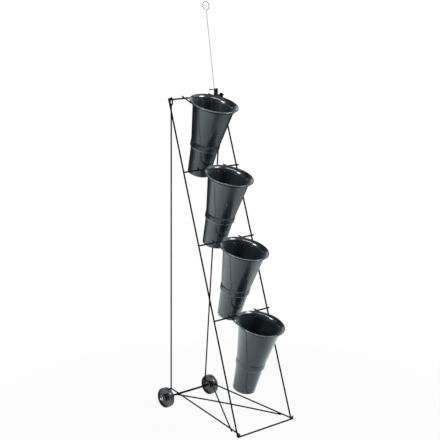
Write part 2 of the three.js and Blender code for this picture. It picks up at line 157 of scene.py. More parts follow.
def gloss_change(group, given, mask, low, high):
    """The roughness between the group's two gloss inputs, as the mask goes from low to high."""
    gloss = group.nodes.new("ShaderNodeMapRange")
    feed(group.links, gloss.inputs["Value"], mask)
    feed(group.links, gloss.inputs["From Min"], low)
    feed(group.links, gloss.inputs["From Max"], high)
    feed(group.links, gloss.inputs["To Min"], given["Gloss Low"])
    feed(group.links, gloss.inputs["To Max"], given["Gloss High"])
    return gloss.outputs["Result"]


def relief(group, mask, strength, depth):
    """Turns a mask into a shallow relief of the surface."""
    bump = group.nodes.new("ShaderNodeBump")
    feed(group.links, bump.inputs["Height"], mask)
    feed(group.links, bump.inputs["Strength"], strength)
    feed(group.links, bump.inputs["Distance"], depth)
    return bump.outputs["Normal"]


def powder_coat_finish():
    """The fine orange peel of powder coat, with broad changes of tone and gloss."""
    inputs = [
        ("Peel Scale", NUMBER, 900.0),
        ("Peel Height", NUMBER, 0.12),
        ("Gloss Low", NUMBER, 0.3),
        ("Gloss High", NUMBER, 0.5),
    ]
    group, given, result = new_finish("powder_coat", inputs)
    place = group.nodes.new("ShaderNodeTexCoord").outputs["Object"]
    broad = noise_mask(group, place, 38.0, 4.0)
    peel = noise_mask(group, place, given["Peel Scale"], 2.0)
    feed(group.links, result["Tone"], broad)
    feed(group.links, result["Roughness"], gloss_change(group, given, broad, 0.3, 0.7))
    feed(group.links, result["Normal"], relief(group, peel, given["Peel Height"], 0.0002))
    return group


powder_coat = powder_coat_finish()


def tone_ramp(nodes, links, mask, dark, light, low=0.35, high=0.65):
    """Colours a mask from dark to light."""
    ramp = nodes.new("ShaderNodeValToRGB")
    ramp.color_ramp.elements[0].position = low
    ramp.color_ramp.elements[0].color = (*dark, 1.0)
    ramp.color_ramp.elements[1].position = high
    ramp.color_ramp.elements[1].color = (*light, 1.0)
    links.new(mask, ramp.inputs["Fac"])
    return ramp.outputs["Color"]


def finish_material(name, finish, dark, light, settings):
    """A material in one finish, between a dark and a light tone, with its own settings of the finish."""
    material = bpy.data.materials.new(name)
    material.use_nodes = True
    nodes, links = material.node_tree.nodes, material.node_tree.links
    shader = nodes["Principled BSDF"].inputs
    skin = nodes.new("ShaderNodeGroup")
    skin.node_tree = finish
    for socket, value in settings.items():
        skin.inputs[socket].default_value = value
    links.new(tone_ramp(nodes, links, skin.outputs["Tone"], dark, light), shader["Base Color"])
    links.new(skin.outputs["Roughness"], shader["Roughness"])
    links.new(skin.outputs["Normal"], shader["Normal"])
    return material, shader


COAT_DARK = (0.002, 0.0018, 0.0016)
COAT_LIGHT = (0.006, 0.005, 0.0045)
satin = {"Gloss Low": 0.18, "Gloss High": 0.3}
satin_black, satin_shader = finish_material("satin_black_coat", powder_coat, COAT_DARK, COAT_LIGHT, satin)
satin_shader["Specular IOR Level"].default_value = 0.07


def dress(piece, material):
    """Gives a piece its only material."""
    piece.data.materials.clear()
    piece.data.materials.append(material)


for side, sign in BOTH_SIDES:
    line_foot = rod_place(LINE_LENGTH) - frame_front * LEG_SEAT
    foot_clearance = ROD_RADIUS * math.sin(FRAME_LEAN) + SEAT_GAP
    foot = line_foot + down_frame * ((line_foot.z - foot_clearance) / math.cos(FRAME_LEAN))
    top = rod_place(-TOP_OVERRUN) - frame_front * LEG_SEAT
    foot.x = sign * leg_x(LINE_LENGTH)
    top.x = sign * leg_x(-TOP_OVERRUN)
    leg = rod_mesh(f"{side}_leg_rod", [foot, top], ROD_RADIUS)
    dress(leg, satin_black)
    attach(leg, "front_frame")
    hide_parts(f"{side}_leg")

cross_rods = [("top_bar", 0.0), ("cross_rod_2", TIER_DISTANCES[1]), ("cross_rod_3", TIER_DISTANCES[2])]
cross_rods += [("cross_rod_4", TIER_DISTANCES[3]), ("front_bar", LINE_LENGTH)]
for node, distance in cross_rods:
    reach = leg_x(distance) + ROD_OVERHANG
    middle = rod_place(distance)
    ends = [middle - Vector((reach, 0.0, 0.0)), middle + Vector((reach, 0.0, 0.0))]
    rod = rod_mesh(f"{node}_rod", ends, ROD_RADIUS)
    dress(rod, satin_black)
    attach(rod, "front_frame")
    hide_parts(node)


# Weld nuggets: resistance welding squeezes out a little metal where a cross rod meets a leg.
# It freezes as a small uneven collar, which the powder coat rounds over.
NUGGET_SIDES = 18
NUGGET_BANDS = 9
FLOOR_NUGGET_LIFT = 0.5 * MM


def weld_nugget(name, body, place, along, across, reach, width, seed):
    """A small frozen pool of weld metal, long in one direction, with an uneven outline."""
    along = Vector(along).normalized()
    across = (Vector(across) - along * Vector(across).dot(along)).normalized()
    third = along.cross(across)
    mesh = bmesh.new()
    rings = []
    for band in range(1, NUGGET_BANDS):
        lift = math.pi * band / NUGGET_BANDS
        ring = []
        for k in range(NUGGET_SIDES):
            angle = 2.0 * math.pi * k / NUGGET_SIDES
            uneven = 1.0 + 0.09 * math.sin(3.0 * angle + seed)
            uneven += 0.05 * math.sin(5.0 * angle + 2.3 * seed + lift)
            spread = math.sin(lift) ** 0.8 * uneven
            offset = across * math.cos(angle) * width + third * math.sin(angle) * width
            ring.append(mesh.verts.new(Vector(place) + offset * spread + along * math.cos(lift) * reach))
        rings.append(ring)
    join_rings(mesh, rings)
    for ring, lift in ((rings[0], reach), (rings[-1], -reach)):
        tip = mesh.verts.new(Vector(place) + along * lift)
        for k in range(NUGGET_SIDES):
            mesh.faces.new((ring[k], ring[(k + 1) % NUGGET_SIDES], tip))
    nugget = finished_object(name, mesh, crease=80.0)
    dress(nugget, satin_black)
    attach(nugget, body)


for node, distance in cross_rods:
    for side, sign in BOTH_SIDES:
        joint = rod_place(distance) - frame_front * (LEG_SEAT / 2.0)
        joint.x = sign * leg_x(distance)
        joint.z += FLOOR_NUGGET_LIFT if node == "front_bar" else 0.0
        name, seed = f"{side}_{node}_weld", distance * 40 + sign
        weld_nugget(name, "front_frame", joint, (1, 0, 0), down_frame, 2.7 * MM, 2.1 * MM, seed)


# Hoops: one 5 mm rod each, bent on a former to a round front whose two arms run back and together.
# The arms lie on top of their cross rod and are welded to it, with a short tail left behind the weld.
TIER_TILT = math.radians(17.597)
HOOP_ROD_RADIUS = 2.5 * MM
HOOP_REACH = 96.0 * MM
VASE_NECK_RADIUS = 79.0 * MM
HOOP_CLEARANCE = 2.5 * MM
HOOP_BEND_RADIUS = VASE_NECK_RADIUS + HOOP_CLEARANCE + HOOP_ROD_RADIUS
HOOP_ARM_X = 68.0 * MM
HOOP_TAIL = 9.0 * MM
HOOP_LIFT = ROD_RADIUS + SEAT_GAP + HOOP_ROD_RADIUS
HOOP_STEPS = 84
glossier = {"Gloss Low": 0.12, "Gloss High": 0.2}
hoop_black, hoop_shader = finish_material("hoop_black_coat", powder_coat, COAT_DARK, COAT_LIGHT, glossier)
hoop_shader["Specular IOR Level"].default_value = 0.6
tier_up = Vector((0.0, -math.sin(TIER_TILT), math.cos(TIER_TILT)))
tier_front = Vector((0.0, -math.cos(TIER_TILT), -math.sin(TIER_TILT)))


def hoop_place(rod, across, forward):
    """A place on the centre plane of the hoop that lies on that cross rod."""
    return rod + Vector((across, 0.0, 0.0)) + tier_up * HOOP_LIFT + tier_front * forward


def hoop_front(angle):
    """A place on the round front of a hoop, as (across, forward)."""
    forward = HOOP_REACH - HOOP_BEND_RADIUS * math.sin(angle)
    return Vector((HOOP_BEND_RADIUS * math.cos(angle), forward))


arm_foot = Vector((HOOP_ARM_X, 0.0))
arm_span = math.hypot(HOOP_ARM_X, HOOP_REACH)
start_angle = math.atan2(HOOP_REACH, HOOP_ARM_X) - math.acos(HOOP_BEND_RADIUS / arm_span)
tail = arm_foot + (arm_foot - hoop_front(start_angle)).normalized() * HOOP_TAIL
hoop_shape = [tail]
for i in range(HOOP_STEPS + 1):
    hoop_shape.append(hoop_front(start_angle - (math.pi + 2.0 * start_angle) * i / HOOP_STEPS))
hoop_shape.append(Vector((-tail.x, tail.y)))

for tier, distance in enumerate(TIER_DISTANCES, start=1):
    rod = rod_place(distance)
    centre_line = [hoop_place(rod, across, forward) for across, forward in hoop_shape]
    hoop = rod_mesh(f"vase_hoop_{tier}_rod", centre_line, HOOP_ROD_RADIUS, sides=18)
    dress(hoop, hoop_black)
    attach(hoop, "front_frame")
    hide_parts(f"vase_hoop_{tier}")
    for side, sign in BOTH_SIDES:
        joint = rod + Vector((sign * HOOP_ARM_X, 0.0, 0.0)) + tier_up * (HOOP_LIFT / 2.0)
        name, seed = f"{side}_hoop_{tier}_weld", tier + sign
        weld_nugget(name, "front_frame", joint, (1, 0, 0), tier_front, 2.9 * MM, 2.0 * MM, seed)


# Vases: thin injection-moulded cups of black plastic with a rolled rim, a collar and a narrower foot.
# They drop into the hoops and hang there by the rim, so nothing fixes them.
RIM_HEIGHT = 7.0 * MM
# Beyond this radius the edge of the rim gets a lighter painted highlight.
RIM_HIGHLIGHT_RADIUS = 91.7 * MM
# Depth below the rim over which the painted light inside the mouth fades out.
MOUTH_LIT_DEPTH = 110.0 * MM
VASE_SIDES = 144
# Skin values: painted shade on the inside, the plain outside, and a painted highlight along the rim edge.
SKIN_INSIDE_SHADE, SKIN_OUTSIDE, SKIN_RIM_HIGHLIGHT = 0.0, 0.5, 1.0


def in_metres(outline):
    """Turns an outline of (distance from the axis, place along it) from mm into metres."""
    return [(radius * MM, along * MM) for radius, along in outline]


def vase_outline():
    """The section of a vase as (distance from its axis, height below the rim), once round the wall."""
    mm = [(86.5, -7.0), (88.6, -6.7), (90.4, -6.0), (91.6, -5.3), (92.5, -4.3), (92.95, -3.3)]
    mm += [(92.95, -2.2), (92.5, -1.1), (91.8, -0.3), (90.9, 0.0), (89.9, -0.3), (89.0, -1.0)]
    mm += [(87.8, -1.8), (85.6, -2.8), (83.4, -4.2), (81.4, -6.1), (79.5, -8.8), (77.8, -12.0)]
    mm += [(76.4, -15.8), (75.3, -20.2), (74.5, -25.0), (73.7, -30.0), (53.2, -153.0), (52.6, -157.0)]
    mm += [(48.0, -176.5), (47.2, -180.0), (40.9, -277.5), (40.0, -280.4), (37.8, -282.2)]
    mm += [(34.6, -282.8), (0.0, -282.8), (0.0, -285.0), (38.6, -285.0), (40.6, -284.7), (42.0, -283.7)]
    mm += [(42.8, -282.2), (43.0, -280.6), (43.2, -278.0), (51.4, -182.0), (51.7, -180.4)]
    mm += [(52.3, -179.4), (53.3, -178.9), (54.4, -178.3), (55.2, -177.2), (55.7, -175.8)]
    mm += [(55.8, -174.4), (56.2, -160.0), (56.2, -158.6), (56.1, -157.3), (55.9, -156.2)]
    mm += [(55.7, -155.0), (55.7, -153.4), (55.9, -151.4), (78.7, -13.2), (79.2, -11.6), (80.2, -10.0)]
    mm += [(81.8, -8.4), (83.4, -7.4), (85.0, -7.0)]
    return in_metres(mm)


def turned(name, outline, sides, place, crease=30.0):
    """A piece of revolution about its own Z, from a closed outline of (distance from axis, height)."""
    mesh = bmesh.new()
    columns = []
    poles = {}
    for k in range(sides):
        angle = 2.0 * math.pi * k / sides
        column = []
        for i, (radius, height) in enumerate(outline):
            if radius < 1e-7:
                if i not in poles:
                    poles[i] = mesh.verts.new((0.0, 0.0, height))
                column.append(poles[i])
            else:
                spot = (radius * math.cos(angle), radius * math.sin(angle), height)
                column.append(mesh.verts.new(spot))
        columns.append(column)
    for k in range(sides):
        here, there = columns[k], columns[(k + 1) % sides]
        for i in range(len(outline)):
            j = (i + 1) % len(outline)
            corners = []
            for vertex in (here[i], there[i], there[j], here[j]):
                if vertex not in corners:
                    corners.append(vertex)
            if len(corners) > 2:
                mesh.faces.new(corners)
    mesh.transform(place)
    return finished_object(name, mesh, crease)


def moulded_plastic_finish():
    """Moulded plastic: faint flow streaks down the part, a fine grain, and soft handling marks."""
    inputs = [
        ("Streak Scale", NUMBER, 60.0),
        ("Grain Scale", NUMBER, 1400.0),
        ("Grain Height", NUMBER, 0.06),
        ("Gloss Low", NUMBER, 0.12),
        ("Gloss High", NUMBER, 0.2),
    ]
    group, given, result = new_finish("moulded_plastic", inputs)
    place = group.nodes.new("ShaderNodeTexCoord").outputs["Object"]
    stretch = group.nodes.new("ShaderNodeMapping")
    feed(group.links, stretch.inputs["Vector"], place)
    feed(group.links, stretch.inputs["Scale"], (1.0, 1.0, 0.12))
    streak = noise_mask(group, stretch.outputs["Vector"], given["Streak Scale"], 3.0)
    grain = noise_mask(group, place, given["Grain Scale"], 2.0)
    handled = noise_mask(group, place, 22.0, 6.0, 0.7)
    feed(group.links, result["Tone"], streak)
    feed(group.links, result["Roughness"], gloss_change(group, given, handled, 0.35, 0.7))
    feed(group.links, result["Normal"], relief(group, grain, given["Grain Height"], 0.0001))
    return group


moulded_plastic = moulded_plastic_finish()
COLOUR_A, COLOUR_B, COLOUR_OUT = 6, 7, 2


def mix_into_base(material, share, colour, blend_type="MIX"):
    """Mixes another colour into the one that a material's base has so far.

    The numbers are the colour sockets of a mix node: its two colours and its result.
    """
    nodes, links = material.node_tree.nodes, material.node_tree.links
    base = nodes["Principled BSDF"].inputs["Base Color"]
    mix = nodes.new("ShaderNodeMix")
    mix.data_type = "RGBA"
    mix.blend_type = blend_type
    feed(links, mix.inputs["Factor"], share)
    feed(links, mix.inputs[COLOUR_A], base.links[0].from_socket)
    feed(links, mix.inputs[COLOUR_B], colour)
    links.new(mix.outputs[COLOUR_OUT], base)


def attribute_value(material, name):
    """The value that the mesh gives to each place on the surface under that name."""
    reader = material.node_tree.nodes.new("ShaderNodeAttribute")
    reader.attribute_name = name
    return reader.outputs["Fac"]


# The skin is blue-black outside; painted shade makes it near black inside, and a painted highlight makes it
# grey along the edge of the rim.
# What mirrors it sees a lighter skin, most of all just inside the mouth: painted light for the daylight that
# fills it.
skin_settings = {"Gloss Low": 0.4, "Gloss High": 0.5, "Grain Height": 0.02}
streak_tones = ((0.8, 0.8, 0.8), (1.0, 1.0, 1.0))
vase_plastic, vase_shader = finish_material("vase_plastic", moulded_plastic, *streak_tones, skin_settings)
nodes, links = vase_plastic.node_tree.nodes, vase_plastic.node_tree.links
# Painted shade makes the inside near black and a painted highlight makes the rim edge grey; the outside
# keeps its own blue-black.
skin_tone_and_painted_light = nodes.new("ShaderNodeValToRGB")
skin_tone_and_painted_light.color_ramp.elements[0].color = (0.003, 0.0015, 0.0015, 1.0)
skin_tone_and_painted_light.color_ramp.elements[1].color = (0.13, 0.15, 0.16, 1.0)
skin_tone_and_painted_light.color_ramp.elements.new(SKIN_OUTSIDE).color = (0.012, 0.0155, 0.022, 1.0)
links.new(attribute_value(vase_plastic, "skin"), skin_tone_and_painted_light.inputs["Fac"])
mix_into_base(vase_plastic, 1.0, skin_tone_and_painted_light.outputs["Color"], "MULTIPLY")
# Painted light: mirrored rays see a lighter, bluish skin inside the mouth, strongest near the rim.
mouth_painted_light_share = attribute_value(vase_plastic, "mouth")
mirrored_painted_light = tone_ramp(nodes, links, mouth_painted_light_share, (0.02, 0.03, 0.04), (0.26, 0.34, 0.4), 0.0, 1.0)
mirror_rays = nodes.new("ShaderNodeLightPath")
mix_into_base(vase_plastic, mirror_rays.outputs["Is Glossy Ray"], mirrored_painted_light)
vase_shader["Specular IOR Level"].default_value = 0.45
vase_shader["Specular Tint"].default_value = (0.72, 0.93, 1.0, 1.0)
vase_shader["Coat Weight"].default_value = 1.0
vase_shader["Coat IOR"].default_value = 1.75
vase_shader["Coat Roughness"].default_value = 0.11


def shade_vase(vase, stand):
    """Writes where the skin gets painted shade inside, its own tone outside or a painted highlight at the
    rim edge, and how near the mouth it is.
    """
    skin = vase.data.attributes.new("skin", "FLOAT", "POINT")
    mouth = vase.data.attributes.new("mouth", "FLOAT", "POINT")
    upright_vase = stand.inverted()
    for i, vertex in enumerate(vase.data.vertices):
        spot = upright_vase @ vertex.co
        facing = upright_vase.to_3x3() @ vertex.normal
        radius = math.hypot(spot.x, spot.y)
        outward = (facing.x * spot.x + facing.y * spot.y) / max(radius, 1e-6)
        inside = facing.z > -0.1 and outward < 0.5
        # Painted shade: faces on the inside get the darker skin.
        skin.data[i].value = SKIN_INSIDE_SHADE if inside else SKIN_OUTSIDE
        # Painted highlight: the rim edge beyond this radius is given a lighter grey skin.
        if radius > RIM_HIGHLIGHT_RADIUS:
            skin.data[i].value = SKIN_RIM_HIGHLIGHT
        # How much painted light the inside gets, most at the rim and none below the fade depth.
        mouth.data[i].value = max(1.0 + spot.z / MOUTH_LIT_DEPTH, 0.0) if inside else 0.0


for tier, distance in enumerate(TIER_DISTANCES, start=1):
    hoop_middle = hoop_place(rod_place(distance), 0.0, HOOP_REACH)
    rim_top = hoop_middle + tier_up * (HOOP_ROD_RADIUS + SEAT_GAP + RIM_HEIGHT)
    stand = Matrix.Translation(rim_top) @ Matrix.Rotation(TIER_TILT, 4, "X")
    vase = turned(f"vase_{tier}_cup", vase_outline(), VASE_SIDES, stand, crease=50.0)
    shade_vase(vase, stand)
    dress(vase, vase_plastic)
    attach(vase, f"vase_{tier}")
    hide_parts(f"vase_{tier}")


# Rear frame: two 5 mm uprights, each bent into a drop-shaped eye that turns on the top bar.
# The eye is closed by a weld where the rod comes back to itself, and the foot is welded to the axle.
# The coating adds COAT_BUILD to the radius of these and of the base rods.
AXLE_Y = 224.686 * MM
AXLE_Z = 39.5 * MM
AXLE_RADIUS = 4.0 * MM
UPRIGHT_TOP_X = 126.0 * MM
UPRIGHT_FOOT_X = 89.0 * MM
UPRIGHT_RADIUS = 2.5 * MM
EYE_HALF = 6.5 * MM
EYE_DROP = 23.0 * MM
EYE_SHOULDER = (EYE_DROP - EYE_HALF) * 0.75
EYE_ARCH = ROD_RADIUS + SEAT_GAP + UPRIGHT_RADIUS - EYE_HALF
EYE_SIDE_STEPS = 9
EYE_ARCH_STEPS = 24
EYE_RETURN_SHARES = (1.0, 0.9, 0.8, 0.7, 0.6, 0.5, 0.42)
COAT_BUILD = 0.25 * MM


def eye_side(eye_place, upright_up, share, sideways):
    """A place on the bulging side of an eye, from its lower tip at 0 to its shoulder at 1."""
    bulge = EYE_HALF * math.sin(share * math.pi / 2)
    return eye_place + upright_up * (EYE_SHOULDER * share - EYE_DROP) + sideways * bulge


for side, sign in BOTH_SIDES:
    eye_place = Vector((sign * UPRIGHT_TOP_X, TOP_BAR_Y, TOP_BAR_Z))
    axle_place = Vector((sign * UPRIGHT_FOOT_X, AXLE_Y, AXLE_Z))
    upright_up = (eye_place - axle_place).normalized()
    upright_back = Vector((0.0, upright_up.z, -upright_up.y)).normalized()
    points = [axle_place + upright_up * (AXLE_RADIUS + SEAT_GAP)]
    points.append(eye_place - upright_up * (EYE_DROP + EYE_HALF))
    for i in range(EYE_SIDE_STEPS + 1):
        points.append(eye_side(eye_place, upright_up, i / EYE_SIDE_STEPS, -upright_back))
    for i in range(EYE_ARCH_STEPS + 1):
        angle = math.pi - math.pi * i / EYE_ARCH_STEPS
        lift = EYE_ARCH + EYE_HALF * math.sin(angle)
        points.append(eye_place + upright_up * lift + upright_back * EYE_HALF * math.cos(angle))
    for share in EYE_RETURN_SHARES:
        points.append(eye_side(eye_place, upright_up, share, upright_back))
    upright = rod_mesh(f"{side}_upright_rod", points, UPRIGHT_RADIUS + COAT_BUILD, sides=18)
    dress(upright, satin_black)
    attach(upright, "rear_frame")
    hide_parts(f"{side}_upright")
    closing = eye_place - upright_up * (EYE_DROP - EYE_SHOULDER * 0.3) + upright_back * 1.2 * MM
    name = f"{side}_eye_weld"
    weld_nugget(name, "rear_frame", closing, upright_up, upright_back, 4.6 * MM, 2.5 * MM, sign)


# Axle: a straight 8 mm bar of drawn steel that the uprights are welded to, coated with the frame.
# It stands still: the wheels run on its ends, and a pressed cap at each end holds them on.
AXLE_REACH = 141.3 * MM
axle_ends = [(-AXLE_REACH, AXLE_Y, AXLE_Z), (AXLE_REACH, AXLE_Y, AXLE_Z)]
axle = rod_mesh("axle_bar", axle_ends, AXLE_RADIUS, sides=28)
dress(axle, satin_black)
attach(axle, "rear_frame")
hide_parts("axle")
for side, sign in BOTH_SIDES:
    joint = Vector((sign * (UPRIGHT_FOOT_X - 0.8 * MM), AXLE_Y - 0.7 * MM, AXLE_Z + AXLE_RADIUS - 0.2 * MM))
    name, seed = f"{side}_foot_weld", 2.0 + sign
    weld_nugget(name, "rear_frame", joint, (1, 0, 0), (0, 1, 0), 4.6 * MM, 2.7 * MM, seed)


# Wheels: one-piece dark grey plastic mouldings with two fine grooves round a slightly crowned tread,
# a raised flange on both faces, a sunk web, and a stepped hub bored to run on the axle.
WHEEL_INNER = 105.0 * MM
WHEEL_WIDTH = 21.0 * MM
WHEEL_SIDES = 96


def on_axle(sign, reach):
    """Stands a turned piece on the axle, that far from the middle and facing outwards."""
    turn = Matrix.Rotation(math.pi / 2 * sign, 4, "Y")
    return Matrix.Translation((sign * reach, AXLE_Y, AXLE_Z)) @ turn


def wheel_outline():
    """The section of a wheel as (distance from the axle, place along it from the inner face)."""
    mm = [(4.35, 0.5), (4.8, 0.0), (12.2, 0.0), (12.8, 0.3), (13.1, 1.0), (13.5, 4.2), (14.6, 7.0)]
    mm += [(32.4, 7.0), (33.6, 6.4), (34.2, 1.2), (34.7, 0.3), (35.5, 0.0), (36.9, 0.0), (38.0, 0.3)]
    mm += [(38.8, 1.1), (39.1, 2.1), (39.2, 6.0), (39.25, 7.2), (38.9, 7.6), (38.9, 8.1), (39.25, 8.5)]
    mm += [(39.25, 12.5), (38.9, 12.9), (38.9, 13.4), (39.25, 13.8), (39.2, 15.0), (39.1, 18.9)]
    mm += [(38.8, 19.9), (38.0, 20.7), (36.9, 21.0), (35.5, 21.0), (34.7, 20.7), (34.2, 19.8)]
    mm += [(33.6, 14.6), (32.4, 14.0), (14.6, 14.0), (13.6, 14.8), (13.1, 24.6), (12.7, 25.5)]
    mm += [(11.8, 26.0), (9.5, 26.0), (9.1, 26.3), (9.0, 26.8), (8.9, 29.2), (8.5, 29.8), (7.8, 30.0)]
    mm += [(4.8, 30.0), (4.35, 29.6)]
    return in_metres(mm)


# Wheel tones: painted shade in the corners, a painted highlight on the flange, a darker tread, plain
# elsewhere.
RING_PAINTED_SHADE, RING_PAINTED_HIGHLIGHT, RING_TREAD, RING_PLAIN = 0.12, 1.5, 0.75, 1.0


def ring_painted_light_at(radius):
    """Painted shade darkens the corners of the web and the hub, a painted highlight lightens the flange, and
    the tread is a little darker (radius in mm).
    """
    if 32.0 < radius < 34.4 or 13.0 < radius < 15.0:
        return RING_PAINTED_SHADE
    if 34.4 < radius < 37.5:
        return RING_PAINTED_HIGHLIGHT
    return RING_TREAD if radius > 38.0 else RING_PLAIN


wheel_tones = ((0.055, 0.06, 0.064), (0.07, 0.076, 0.08))
wheel_settings = {"Gloss Low": 0.3, "Gloss High": 0.38, "Grain Height": 0.04}
wheel_plastic, wheel_shader = finish_material("wheel_plastic", moulded_plastic, *wheel_tones, wheel_settings)
wheel_shader["Coat Weight"].default_value = 0.6
wheel_shader["Coat Roughness"].default_value = 0.1
# The base is multiplied by these tones: painted shade in the web and hub corners, a painted highlight on the
# flange.
mix_into_base(wheel_plastic, 1.0, attribute_value(wheel_plastic, "ring_painted_light"), "MULTIPLY")

for side, sign in BOTH_SIDES:
    outline = wheel_outline()
    wheel = turned(f"{side}_wheel_moulding", outline, WHEEL_SIDES, on_axle(sign, WHEEL_INNER))
    tones = wheel.data.attributes.new("ring_painted_light", "FLOAT", "POINT")
    for i in range(len(wheel.data.vertices)):
        radius = outline[i % len(outline)][0]
        tones.data[i].value = ring_painted_light_at(radius / MM)
    dress(wheel, wheel_plastic)
    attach(wheel, f"{side}_wheel")
    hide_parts(f"{side}_wheel")


# Washers and caps: a plastic washer keeps each wheel off its upright,
# and a bright cap of pressed spring steel grips each end of the axle.
WASHER_THICKNESS = 2.4 * MM
HUB_REACH = 9.0 * MM


def washer_outline():
    """The section of a washer with its corners taken off."""
    mm = [(4.3, 0.3), (4.6, 0.0), (7.1, 0.0), (7.5, 0.4), (7.5, 2.0), (7.1, 2.4), (4.6, 2.4), (4.3, 2.1)]
    return in_metres(mm)


def cap_outline():
    """A pressed cap: a curled lip at the open end, a straight wall and a low dome."""
    mm = [(4.3, 0.5), (4.7, 0.0), (6.0, 0.0), (6.4, 0.3), (6.5, 0.7), (6.4, 1.1), (6.0, 1.5), (5.4, 1.9)]
    mm += [(5.1, 2.6), (5.1, 5.4), (5.0, 6.2), (4.6, 6.9), (3.9, 7.4), (2.9, 7.8), (1.5, 8.0), (0.0, 8.0)]
    mm += [(0.0, 6.6), (4.3, 6.6)]
    return in_metres(mm)


def brushed_metal_finish():
    """Drawn or turned metal: a little staining, and scratches, longest where the stretch is least."""
    inputs = [
        ("Scratch Stretch", VECTOR, (40.0, 40.0, 3000.0)),
        ("Scratch Height", NUMBER, 0.15),
        ("Gloss Low", NUMBER, 0.16),
        ("Gloss High", NUMBER, 0.3),
    ]
    group, given, result = new_finish("brushed_metal", inputs)
    place = group.nodes.new("ShaderNodeTexCoord").outputs["Object"]
    stretch = group.nodes.new("ShaderNodeMapping")
    feed(group.links, stretch.inputs["Vector"], place)
    feed(group.links, stretch.inputs["Scale"], given["Scratch Stretch"])
    scratch = noise_mask(group, stretch.outputs["Vector"], 1.0, 3.0)
    stain = noise_mask(group, place, 120.0, 5.0)
    feed(group.links, result["Tone"], stain)
    feed(group.links, result["Roughness"], gloss_change(group, given, stain, 0.3, 0.7))
    feed(group.links, result["Normal"], relief(group, scratch, given["Scratch Height"], 0.00005))
    return group


brushed_metal = brushed_metal_finish()


def metal_material(name, dark, light, settings):
    """Bare metal with its own tones, scratches and gloss."""
    material, shader = finish_material(name, brushed_metal, dark, light, settings)
    shader["Metallic"].default_value = 1.0
    return material


scratches = {"Scratch Stretch": (300.0, 300.0, 2500.0)}
cap_steel = metal_material("cap_steel", (0.5, 0.49, 0.47), (0.68, 0.67, 0.65), scratches)
washer_tones = ((0.012, 0.012, 0.012), (0.02, 0.02, 0.02))
washer_settings = {"Gloss Low": 0.35, "Gloss High": 0.5, "Grain Height": 0.1}
washer_plastic, _ = finish_material("washer_plastic", moulded_plastic, *washer_tones, washer_settings)

for side, sign in BOTH_SIDES:
    inner = on_axle(sign, WHEEL_INNER - WASHER_THICKNESS - SEAT_GAP)
    washer = turned(f"{side}_axle_washer_ring", washer_outline(), 48, inner)
    dress(washer, washer_plastic)
    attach(washer, "rear_frame")
    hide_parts(f"{side}_axle_washer")
    outer = on_axle(sign, WHEEL_INNER + WHEEL_WIDTH + HUB_REACH + SEAT_GAP)
    cap = turned(f"{side}_axle_cap_pressing", cap_outline(), 56, outer)
    dress(cap, cap_steel)
    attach(cap, "rear_frame")
    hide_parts(f"{side}_axle_cap")


# Base frame: two 5 mm braces with hooks at both ends, joined by two crossed diagonals welded under them.
# It lies low to hold the two frames apart, and its front hooks lift off the feet when the trolley folds.
BASE_ROD_RADIUS = 2.5 * MM
BRACE_ABOVE_AXLE = 28.0 * MM
HOOK_BEND = 4.0 * MM
HOOK_SIDE_GAP = 2.0 * MM
REAR_HOOK_SLACK = 3.0 * MM
REAR_HOOK_TIP = 4.5 * MM
FRONT_HOOK_SLACK = 1.6 * MM
FRONT_HOOK_TIP = 8.0 * MM
FRONT_HOOK_UPTURN = 4.0 * MM
DIAGONAL_INSET = 0.12
DIAGONAL_OVERHANG = 7.0 * MM
DIAGONAL_STEPS = 32
under_brace = Vector((0.0, 0.0, 2.0 * BASE_ROD_RADIUS + SEAT_GAP))


def bent_path(corners, bend_radius, steps=8):
    """The centre line of a bent rod: straight runs joined by round bends."""
    corners = [Vector(c) for c in corners]
    path = [corners[0]]
    for i in range(1, len(corners) - 1):
        before = (corners[i] - corners[i - 1]).normalized()
        after = (corners[i + 1] - corners[i]).normalized()
        turn = before.angle(after)
        start = corners[i] - before * bend_radius * math.tan(turn / 2.0)
        inward = (after - before * before.dot(after)).normalized()
        centre = start + inward * bend_radius
        for k in range(steps + 1):
            angle = turn * k / steps
            offset = before * math.sin(angle) - inward * math.cos(angle)
            path.append(centre + offset * bend_radius)
    path.append(corners[-1])
    return path


def brace_corners(sign):
    """The corners of a brace, from its tip behind the upright to its tip in front of the leg."""
    rear_height = AXLE_Z + BRACE_ABOVE_AXLE
    rise = BRACE_ABOVE_AXLE / (TOP_BAR_Z - AXLE_Z)
    upright_y = AXLE_Y + (TOP_BAR_Y - AXLE_Y) * rise
    upright_x = UPRIGHT_FOOT_X + (UPRIGHT_TOP_X - UPRIGHT_FOOT_X) * rise
    rear_y = upright_y + UPRIGHT_RADIUS + REAR_HOOK_SLACK + BASE_ROD_RADIUS
    front_height = 2.0 * ROD_RADIUS + SEAT_GAP + BASE_ROD_RADIUS
    line_foot = rod_place(LINE_LENGTH) - frame_front * LEG_SEAT
    leg_y = line_foot.y + (front_height - line_foot.z) * math.tan(FRAME_LEAN)
    front_y = leg_y - ROD_RADIUS - FRONT_HOOK_SLACK - BASE_ROD_RADIUS
    foot_x = leg_x(LINE_LENGTH)
    aside = HOOK_SIDE_GAP + BASE_ROD_RADIUS
    rear_tip = Vector((sign * (upright_x + REAR_HOOK_TIP), rear_y, rear_height))
    rear = Vector((sign * (upright_x - UPRIGHT_RADIUS - aside), rear_y, rear_height))
    front = Vector((sign * (foot_x - ROD_RADIUS - aside), front_y, front_height))
    front_bend = Vector((sign * (foot_x + ROD_RADIUS), front_y, front_height))
    front_tip = Vector((sign * (foot_x + FRONT_HOOK_TIP), front_y, front_height + FRONT_HOOK_UPTURN))
    return rear_tip, rear, front, front_bend, front_tip


def diagonal_ends(rear_sign):
    """Where a diagonal meets the braces: near the rear of one and near the front of the other."""
    near, far = brace_corners(rear_sign), brace_corners(-rear_sign)
    return near[1].lerp(near[2], DIAGONAL_INSET), far[1].lerp(far[2], 1.0 - DIAGONAL_INSET)


